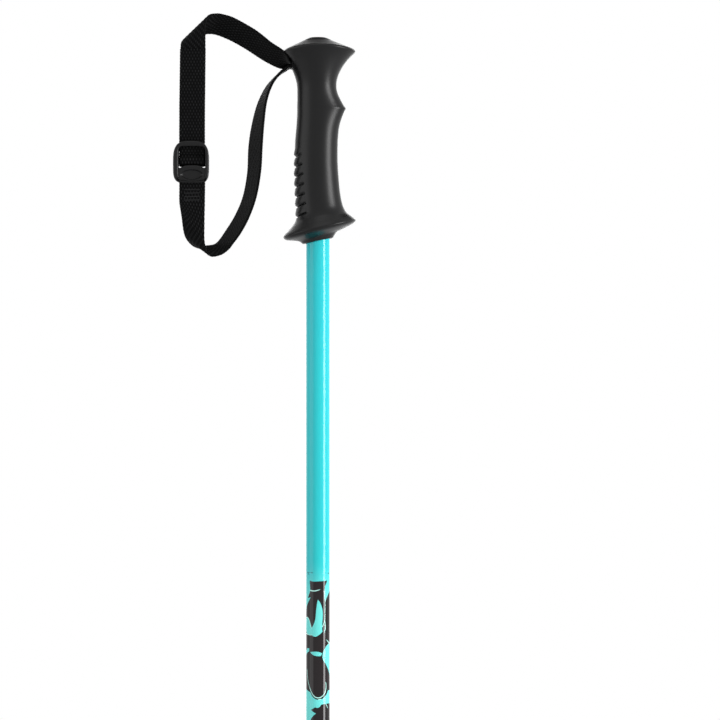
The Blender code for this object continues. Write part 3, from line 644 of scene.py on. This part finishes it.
def even_stations(route):
    """Stations of a route at even steps along the band: middles, edge directions and lengths so far."""
    rows = np.array(smooth_between([(*middle, *edge) for middle, edge in route], 40))
    lengths = np.concatenate([[0.0], np.cumsum(np.linalg.norm(np.diff(rows[:, :3], axis=0), axis=1))])
    count = int(round(lengths[-1] / STEP_ALONG))
    even = np.linspace(0.0, lengths[-1], count + 1)
    rows = np.stack([np.interp(even, lengths, rows[:, k]) for k in range(6)], axis=1)
    return rows[:, :3] + np.array(ROUTE_START), rows[:, 3:], even


def band_section():
    """Points round the band's cross-section: across from -1 to 1, and out from -1 to 1."""
    round_from = 0.93
    across = np.linspace(-1.0, 1.0, COLUMNS + 1)
    beyond = np.clip((np.abs(across) - round_from) / (1 - round_from), 0.0, 1.0)
    out = np.sqrt(1 - beyond**2 * 0.94)
    return np.concatenate([across, across[::-1]]), np.concatenate([out, -out[::-1]])


def webbing(name, middles, edges, lengths, first=0, last=None):
    """A stretch of woven webbing between two of a route's stations."""
    tangents = np.gradient(middles, axis=0)
    outward = np.cross(tangents, edges)
    outward /= np.linalg.norm(outward, axis=1, keepdims=True)
    across, out = band_section()
    last = len(middles) - 1 if last is None else last
    span = slice(first, last + 1)
    middles, edges, outward, lengths = middles[span], edges[span], outward[span], lengths[span]
    width = across * WEBBING_HALF_WIDTH
    yarn = (np.cos(2 * np.pi * width[None, :] / YARN_PITCH)
            * np.cos(np.pi * lengths[:, None] / YARN_PITCH) * np.sign(out)[None, :])
    flat = 1 - np.clip((np.abs(across) - 0.90) / 0.06, 0.0, 1.0)
    selvedge = 1 + (1 - flat) * 0.010 * np.cos(2 * np.pi * lengths[:, None] / YARN_PITCH)
    reach = (width * selvedge)[..., None] * edges[:, None, :]
    rise = out * WEBBING_HALF_THICKNESS + yarn * YARN_HEIGHT * flat
    points = middles[:, None, :] + reach + rise[..., None] * outward[:, None, :]
    made = skin(name, points, sharp=70)
    heights = np.where(flat > 0.5, yarn, 0.3 * yarn).astype(np.float32).reshape(-1)
    made.data.attributes.new("yarn", "FLOAT", "POINT").data.foreach_set("value", heights)
    along = np.repeat(lengths.astype(np.float32), len(across))
    made.data.attributes.new("along", "FLOAT", "POINT").data.foreach_set("value", along)
    sideways = np.tile(width.astype(np.float32), len(lengths))
    made.data.attributes.new("across", "FLOAT", "POINT").data.foreach_set("value", sideways)
    return made


def woven_nylon():
    """Black nylon yarns, painted darker as shade where they dive under each other and lighter as a highlight
    on their crests, with fine filaments along them.
    """
    nylon_web = bpy.data.materials.new("black_nylon_webbing")
    nylon_web.use_nodes = True
    tree = nylon_web.node_tree
    shader = tree.nodes["Principled BSDF"]
    yarn = add(tree, "Attribute", attribute_name="yarn").outputs["Fac"]
    along = add(tree, "Attribute", attribute_name="along").outputs["Fac"]
    across = add(tree, "Attribute", attribute_name="across").outputs["Fac"]
    place = add(tree, "CombineXYZ", {"X": along, "Y": across}).outputs[0]
    # painted light: the yarns' crests are painted lighter as a highlight and the gaps between them darker as
    # shade
    crest = add(tree, "MapRange", {"Value": yarn, "From Min": 0.1, "From Max": 1.0}).outputs["Result"]
    blotch = add(tree, "TexNoise", {"Vector": place, "Scale": 210.0, "Detail": 2.0}).outputs[0]
    painted_yarn_light = add(tree, "Math", {0: crest, 1: blotch}, operation="MULTIPLY").outputs[0]
    tint = add(tree, "MixRGB", {
        0: painted_yarn_light, 1: (0.0006, 0.0006, 0.0007, 1.0), 2: (0.030, 0.030, 0.031, 1.0)}).outputs[0]
    tree.links.new(tint, shader.inputs["Base Color"])
    threads = add(tree, "Mapping", {"Vector": place, "Scale": (600.0, 7000.0, 1.0)}).outputs[0]
    filament = add(tree, "TexNoise", {"Vector": threads, "Scale": 1.0, "Detail": 1.0}).outputs[0]
    height = add(tree, "Math", {0: filament, 1: crest}, operation="ADD").outputs[0]
    bump = add(tree, "Bump", {"Height": height, "Strength": 0.35, "Distance": 0.00008}).outputs[0]
    tree.links.new(bump, shader.inputs["Normal"])
    shader.inputs["Roughness"].default_value = 0.50
    shader.inputs["Specular IOR Level"].default_value = 0.05
    return nylon_web


def sewn_nylon():
    """The same nylon where the strap's two ends are sewn flat on each other inside the slot."""
    tab_nylon = bpy.data.materials.new("black_nylon_sewn_flat")
    tab_nylon.use_nodes = True
    tree = tab_nylon.node_tree
    place = add(tree, "TexCoord").outputs["Object"]
    yarns = add(tree, "TexVoronoi", {"Vector": place, "Scale": 1.0 / YARN_PITCH}, feature="F1")
    dip = yarns.outputs["Distance"]
    # painted shade in the dips between the yarns, and a painted highlight on their tops
    tint = add(tree, "MixRGB", {
        0: dip, 1: (0.016, 0.016, 0.017, 1.0), 2: (0.002, 0.002, 0.002, 1.0)}).outputs[0]
    tree.links.new(tint, tree.nodes["Principled BSDF"].inputs["Base Color"])
    bump = add(tree, "Bump", {"Height": dip, "Strength": 0.4, "Distance": 0.0001}).outputs[0]
    tree.links.new(bump, tree.nodes["Principled BSDF"].inputs["Normal"])
    tree.nodes["Principled BSDF"].inputs["Roughness"].default_value = 0.55
    tree.nodes["Principled BSDF"].inputs["Specular IOR Level"].default_value = 0.05
    return tab_nylon


webbing_cloth = woven_nylon()
upper_middles, upper_edges, upper_lengths = even_stations(UPPER_ROUTE)
lower_middles, lower_edges, lower_lengths = even_stations(LOWER_ROUTE)


def station_at(middles, depth, from_end):
    """Where a run crosses this depth: upwards from its last station, or downwards from its first."""
    order = range(len(middles) - 1, -1, -1) if from_end else range(len(middles))
    for i in order:
        if (middles[i][2] > CROWN - depth) == from_end:
            return i
    return 0


NEAR_RUN_TOP = 0.020  # depth where the near run is straight and hangs from the upper fold
NEAR_RUN_FOOT = 0.114
split_upper = station_at(upper_middles, NEAR_RUN_TOP, True)
split_lower = station_at(lower_middles, NEAR_RUN_FOOT, False)
pieces = {
    "strap_top": webbing("strap_top", upper_middles, upper_edges, upper_lengths, 0, split_upper),
    "strap_near_run": webbing("strap_near_run", upper_middles, upper_edges, upper_lengths, split_upper),
    "strap_below_buckle": webbing(
        "strap_below_buckle", lower_middles, lower_edges, lower_lengths, 0, split_lower),
    "strap_far_run": webbing("strap_far_run", lower_middles, lower_edges, lower_lengths, split_lower),
}
for piece in pieces.values():
    piece.data.materials.append(webbing_cloth)
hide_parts("strap_upper")
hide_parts("strap_lower")
for name in ("strap_top", "strap_far_run"):
    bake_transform(pieces[name])
buckle_low, buckle_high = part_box("strap_buckle")
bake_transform(pieces["strap_near_run"])
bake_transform(pieces["strap_below_buckle"])
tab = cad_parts["strap_end_tab"]
tab.data.materials.clear()
tab.data.materials.append(sewn_nylon())

# ---- the strap's free tail: it turns up round the buckle's middle bar, passes behind the top bar and
# lies on the front of the near run, where it was cut off hot
TAIL_ROUTE = (
    ((-0.0664, -0.0026, -0.0570), (1.00, 0.00, 0.00)),
    ((-0.0664, -0.0032, -0.0581), (1.00, 0.00, 0.00)),
    ((-0.0664, -0.0045, -0.0586), (1.00, 0.00, 0.00)),
    ((-0.0664, -0.0057, -0.0580), (1.00, 0.00, 0.00)),
    ((-0.0664, -0.0062, -0.0568), (1.00, 0.00, 0.00)),
    ((-0.0664, -0.0062, -0.0550), (1.00, 0.00, 0.00)),
    ((-0.0664, -0.0058, -0.0536), (1.00, 0.00, 0.00)),
    ((-0.0664, -0.0050, -0.0522), (1.00, 0.00, 0.00)),
    ((-0.0664, -0.0048, -0.0500), (1.00, 0.00, 0.00)),
    ((-0.0664, -0.0050, -0.0450), (1.00, 0.00, 0.00)),
    ((-0.0664, -0.0054, -0.0400), (1.00, 0.00, 0.00)),
    ((-0.0663, -0.0057, -0.0300), (1.00, 0.00, 0.00)),
    ((-0.0662, -0.0058, -0.0150), (1.00, 0.01, 0.00)),
    ((-0.0660, -0.0058, 0.0000), (1.00, 0.01, 0.00)),
    ((-0.0659, -0.0057, 0.0093), (1.00, 0.01, 0.00)),
)
tail = webbing("strap_tail", *even_stations(TAIL_ROUTE))
tail.data.materials.append(webbing_cloth)
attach(tail, "buckle")

# ---- the strap's sewn end: it turns back round the buckle's lower bar and is stitched to itself
SEWN_ROUTE = (
    ((-0.0664, -0.0040, -0.0650), (1.00, 0.00, 0.00)),
    ((-0.0664, -0.0034, -0.0640), (1.00, 0.00, 0.00)),
    ((-0.0664, -0.0021, -0.0636), (1.00, 0.00, 0.00)),
    ((-0.0664, -0.0009, -0.0641), (1.00, 0.00, 0.00)),
    ((-0.0664, -0.0004, -0.0655), (1.00, 0.00, 0.00)),
    ((-0.0664, -0.0005, -0.0685), (1.00, 0.00, 0.00)),
    ((-0.0664, -0.0017, -0.0735), (1.00, 0.00, 0.00)),
    ((-0.0664, -0.0023, -0.0770), (0.98, 0.00, 0.00)),
    ((-0.0664, -0.0023, -0.0796), (0.98, 0.00, 0.00)),
)
sewn_end = webbing("strap_sewn_end", *even_stations(SEWN_ROUTE))
sewn_end.data.materials.append(webbing_cloth)
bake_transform(sewn_end)

# ---- the stitching that holds the sewn end: rows of tight thread across the webbing
STITCH_ROWS = 4
STITCH_PITCH = 0.0020
STITCH_TOP = 0.0888
STITCH_REACH = 0.62  # of the webbing's half width
THREAD_RADIUS = 0.00022
THREAD_RINGS = 40
stitches = []
for row in range(STITCH_ROWS):
    depth = STITCH_TOP + row * STITCH_PITCH
    i = station_at(lower_middles, depth, False)
    tangent = Vector(lower_middles[i + 1] - lower_middles[i - 1]).normalized()
    edge = Vector(lower_edges[i])
    away = tangent.cross(edge).normalized()
    rings = []
    for k in range(THREAD_RINGS + 1):
        share = 2 * k / THREAD_RINGS - 1
        middle = (Vector(lower_middles[i]) + edge * (share * STITCH_REACH * WEBBING_HALF_WIDTH)
                  + away * (WEBBING_HALF_THICKNESS + 0.00012))
        thick = THREAD_RADIUS * (1 - 0.55 * abs(share) ** 12) * (1 + 0.22 * math.cos(math.pi * k))
        rings.append([
            tuple(middle + tangent * (1.5 * thick * math.cos(turn)) + away * (thick * math.sin(turn)))
            for turn in (2 * math.pi * n / 10 for n in range(10))
        ])
    stitches.append(skin(f"stitch_row_{row + 1}", rings, sharp=80))
thread = bpy.data.materials.new("black_thread")
thread.use_nodes = True
tree = thread.node_tree
twist = add(tree, "TexWave", {"Vector": add(tree, "TexCoord").outputs["Object"], "Scale": 900.0})
dark_thread = add(tree, "MixRGB", {
    0: twist.outputs["Fac"], 1: (0.004, 0.004, 0.004, 1.0), 2: (0.020, 0.020, 0.021, 1.0)}).outputs[0]
tree.links.new(dark_thread, tree.nodes["Principled BSDF"].inputs["Base Color"])
tree.nodes["Principled BSDF"].inputs["Roughness"].default_value = 0.45
tree.nodes["Principled BSDF"].inputs["Specular IOR Level"].default_value = 0.15
for row in stitches:
    row.data.materials.append(thread)
    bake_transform(row)

# ================================================================ the buckle
# A ladder buckle, moulded in one piece of black plastic: a frame with an arched top bar, a middle bar
# that the webbing turns round, a lower bar for the sewn end and a dished thumb lip over it.
buckle_middle = (buckle_low + buckle_high) / 2
BUCKLE_HALF_WIDTH = (buckle_high.x - buckle_low.x) / 2
BUCKLE_HALF_HEIGHT = (buckle_high.z - buckle_low.z) / 2
OPENING_HALF_WIDTH = 0.0076
WEBBING_X = -TUBE_RADIUS - 0.0664
OPENING_TOP = 0.0086
OPENING_FOOT = -0.0097
RAIL_FRONT = buckle_low.y - 0.0019
RAIL_REAR = buckle_high.y

buckle_plastic = moulded_black("black_buckle_plastic", (0.0035, 0.0035, 0.0037), 0.33, 0.08, 3200.0, 0.20)


def rounded_power(value, power):
    return math.copysign(abs(value) ** power, value)


def buckle_frame(count=120, around=20):
    rings = []
    for i in range(count):
        angle = 2 * math.pi * i / count
        c, s = math.cos(angle), math.sin(angle)
        squareness = 2 / 3.0 if s > 0 else 2 / 4.8
        outer = Vector((BUCKLE_HALF_WIDTH * rounded_power(c, squareness),
                        BUCKLE_HALF_HEIGHT * rounded_power(s, squareness)))
        inner_height = OPENING_TOP if s > 0 else -OPENING_FOOT
        inner = Vector((WEBBING_X - buckle_middle.x + OPENING_HALF_WIDTH * rounded_power(c, 2 / 9),
                        inner_height * rounded_power(s, 2 / 9)))
        middle, half = (outer + inner) / 2, (outer - inner) / 2
        front = RAIL_FRONT + 0.0040 * min(max((-s - 0.60) / 0.30, 0.0), 1.0)
        depth_middle, depth_half = (front + RAIL_REAR) / 2, (RAIL_REAR - front) / 2
        ring = []
        for k in range(around):
            turn = 2 * math.pi * k / around
            w = rounded_power(math.cos(turn), 0.55)
            d = rounded_power(math.sin(turn), 0.55)
            spot = middle + half * w
            ring.append((buckle_middle.x + spot.x, depth_middle + depth_half * d, buckle_middle.z + spot.y))
        rings.append(ring)
    return skin("buckle_frame", rings, closed=True, sharp=60)


def rounded_bar(name, low, high, round_off=0.45, around=24):
    """A straight bar along X with a rounded section."""
    middle_y, half_y = (low[1] + high[1]) / 2, (high[1] - low[1]) / 2
    middle_z, half_z = (low[2] + high[2]) / 2, (high[2] - low[2]) / 2
    rings = []
    for x in (low[0], high[0]):
        rings.append([
            (x, middle_y + half_y * rounded_power(math.cos(2 * math.pi * k / around), round_off),
             middle_z + half_z * rounded_power(math.sin(2 * math.pi * k / around), round_off))
            for k in range(around)
        ])
    return skin(name, rings, sharp=60)


def thumb_lip(columns=72, rows=40):
    """The dished lip. Its front hollows in for the thumb, and its lower edge bows down."""
    half_width = OPENING_HALF_WIDTH + 0.0006
    front, back = [], []
    for r in range(rows + 1):
        t = r / rows
        for c in range(columns + 1):
            s = 2 * c / columns - 1
            top = buckle_middle.z - 0.0022 - 0.0014 * min(1.0, (s / 0.8) ** 4)
            foot = buckle_middle.z - 0.0114 + 0.0016 * s * s
            z = top + t * (foot - top)
            inside = min(1.0, 2 * max(0.0, 1 - (s / 0.86) ** 2 - ((t - 0.60) / 0.36) ** 2))
            dish = inside * inside * (3 - 2 * inside)
            edge = (2 * t - 1) ** 8 + s ** 10
            y = RAIL_FRONT + 0.0003 + 0.0012 * dish + 0.0006 * edge
            front.append((WEBBING_X + s * half_width, y, z))
            back.append((WEBBING_X + s * half_width, RAIL_FRONT + 0.0024, z))
    wide = columns + 1
    total = len(front)
    faces = []
    for r in range(rows):
        for c in range(columns):
            a = r * wide + c
            faces.append((a, a + 1, a + wide + 1, a + wide))
            faces.append((total + a, total + a + wide, total + a + wide + 1, total + a + 1))
    border = (
        [c for c in range(columns)] + [r * wide + columns for r in range(rows)]
        + [rows * wide + c for c in range(columns, 0, -1)] + [r * wide for r in range(rows, 0, -1)]
    )
    for a, b in zip(border, border[1:] + border[:1]):
        faces.append((a, total + a, total + b, b))
    data = bpy.data.meshes.new("thumb_lip")
    data.from_pydata(front + back, [], faces)
    work = bmesh.new()
    work.from_mesh(data)
    bmesh.ops.recalc_face_normals(work, faces=work.faces)
    work.to_mesh(data)
    work.free()
    data.shade_smooth()
    data.set_sharp_from_angle(angle=math.radians(50))
    made = bpy.data.objects.new("thumb_lip", data)
    bpy.context.scene.collection.objects.link(made)
    return made


bar_half = OPENING_HALF_WIDTH + 0.0008
buckle = buckle_frame()
bars = [
    rounded_bar("middle_bar", (buckle_middle.x - bar_half, -0.0052, CROWN - 0.0742),
                (buckle_middle.x + bar_half, -0.0036, CROWN - 0.0706)),
    rounded_bar("lip_web", (buckle_middle.x - 0.0041, RAIL_FRONT + 0.0021, CROWN - 0.0790),
                (buckle_middle.x + 0.0041, -0.0040, CROWN - 0.0764), 0.6),
    thumb_lip(),
]
for part in [buckle] + bars:
    part.data.materials.append(buckle_plastic)
    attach(part, "buckle")
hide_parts("strap_buckle")

# ================================================================ the tip ferrule
# The moulded foot of the pole, pressed over the tube's end. It carries a shoulder and a snap bead that
# hold the basket between them, and tapers down to the steel point.
ferrule_low, ferrule_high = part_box("tip_ferrule")
SEAT_TOP, SEAT_FOOT = 0.0760, 0.0630
SOCKET_RADIUS = TUBE_FOOT_RADIUS + FIT_GAP
SEAT_RADIUS = SOCKET_RADIUS + 0.0018
POINT_BORE = 0.0022
ferrule_outline = [
    (SOCKET_RADIUS + 0.0009, ferrule_high.z), (SOCKET_RADIUS + 0.0015, ferrule_high.z - 0.004),
    (SOCKET_RADIUS + 0.0015, 0.0940), (SOCKET_RADIUS + 0.0019, 0.0935), (SOCKET_RADIUS + 0.0019, 0.0920),
    (SOCKET_RADIUS + 0.0015, 0.0915), (SOCKET_RADIUS + 0.0015, SEAT_TOP + 0.010),
    (SEAT_RADIUS + 0.0020, SEAT_TOP + 0.005), (SEAT_RADIUS + 0.0020, SEAT_TOP),
    (SEAT_RADIUS, SEAT_TOP), (SEAT_RADIUS, SEAT_FOOT), (SEAT_RADIUS + 0.0006, SEAT_FOOT - 0.0004),
    (SEAT_RADIUS - 0.0006, SEAT_FOOT - 0.0022), (0.0039, ferrule_low.z + 0.004),
    (0.0034, ferrule_low.z), (POINT_BORE, ferrule_low.z), (POINT_BORE, 0.0333), (0.0011, 0.0333),
    (0.0011, 0.0447), (SOCKET_RADIUS, 0.0447), (SOCKET_RADIUS, ferrule_high.z),
]
ferrule = turned("pole_foot", softened(ferrule_outline, 0.0004), closed=True, sharp=50)
tip_plastic = moulded_black("black_tip_plastic", (0.006, 0.006, 0.0063), 0.42, 0.14, 2000.0, 0.25)
ferrule.data.materials.append(tip_plastic)
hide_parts("tip_ferrule")
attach(ferrule, "pole")

# ================================================================ the snow basket
# A disc moulded in tough black plastic and snapped on the ferrule's seat, where it can be turned. Its
# dished web has six windows with a radial rib between each two, and its rim is a round bead.
BASKET_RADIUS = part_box("basket")[1].x
HUB_BORE = SEAT_RADIUS + FIT_GAP
HUB_RADIUS = HUB_BORE + 0.0024
HUB_TOP, HUB_FOOT = SEAT_TOP - FIT_GAP, SEAT_FOOT + FIT_GAP
RIM_RADIUS = 0.0017
WEB_THICKNESS = 0.0016
WEB_HEIGHT = HUB_FOOT + 0.0050
rim_height = HUB_FOOT + RIM_RADIUS
rim_in = BASKET_RADIUS - 2 * RIM_RADIUS
rim_arc = [
    (BASKET_RADIUS - RIM_RADIUS + RIM_RADIUS * math.cos(math.radians(degrees)),
     rim_height + RIM_RADIUS * math.sin(math.radians(degrees)))
    for degrees in range(130, -150, -20)
]
basket_outline = softened([
    (HUB_RADIUS, HUB_TOP), (HUB_RADIUS, WEB_HEIGHT + WEB_THICKNESS + 0.0010),
    (HUB_RADIUS + 0.0010, WEB_HEIGHT + WEB_THICKNESS), (rim_in, rim_height + WEB_THICKNESS * 0.7),
    *rim_arc, (rim_in, rim_height - WEB_THICKNESS * 0.3), (HUB_RADIUS + 0.0010, WEB_HEIGHT),
    (HUB_RADIUS, WEB_HEIGHT - 0.0010), (HUB_RADIUS, HUB_FOOT), (HUB_BORE, HUB_FOOT), (HUB_BORE, HUB_TOP),
], 0.0005)
basket = turned("snow_basket", basket_outline, closed=True, count=144, sharp=50)
WINDOWS = 6
WINDOW_INNER, WINDOW_OUTER = 0.0125, 0.0215
WINDOW_ANGLE = math.radians(36)
WINDOW_CORNER = 0.0014


def window_outline(middle):
    """A rounded window between two radii."""
    corners = []
    steps = 8
    for radius, way, share in ((WINDOW_INNER, 1, 0.8), (WINDOW_OUTER, -1, 1.0)):
        for k in range(steps + 1):
            angle = middle + way * WINDOW_ANGLE * share * (k / steps - 0.5)
            corners.append((radius * math.cos(angle), radius * math.sin(angle)))
    return softened(corners, WINDOW_CORNER, 4)


windows = bmesh.new()
for window in range(WINDOWS):
    outline = window_outline(2 * math.pi * (window + 0.5) / WINDOWS)
    low = [windows.verts.new((x, y, HUB_FOOT - 0.01)) for x, y in outline]
    high = [windows.verts.new((x, y, HUB_TOP + 0.01)) for x, y in outline]
    windows.faces.new(low)
    windows.faces.new(high)
    for i in range(len(outline)):
        j = (i + 1) % len(outline)
        windows.faces.new((low[i], low[j], high[j], high[i]))
bmesh.ops.recalc_face_normals(windows, faces=windows.faces)
window_data = bpy.data.meshes.new("windows")
windows.to_mesh(window_data)
windows.free()
window_cutter = bpy.data.objects.new("windows", window_data)
bpy.context.scene.collection.objects.link(window_cutter)
cut(basket, window_cutter)
basket.data.shade_smooth()
basket.data.set_sharp_from_angle(angle=math.radians(40))
basket.data.materials.clear()
basket.data.materials.append(tip_plastic)
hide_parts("basket")
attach(basket, "snow_basket")

# ================================================================ the steel point
# A hardened steel pin with a ground cone, pressed into the ferrule up to its collar.
point_outline = [
    (0.0006, 0.0), (0.0014, 0.0), (0.0019, 0.0022), (0.0019, 0.0077), (0.0026, 0.0089), (0.0026, 0.0107),
    (0.0019, 0.0107), (0.0019, 0.0322), (0.0013, 0.0330),
]
point = turned("steel_point", point_outline, count=64, sharp=25)
point.data.materials.append(zinc)
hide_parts("tip_point")
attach(point, "pole")
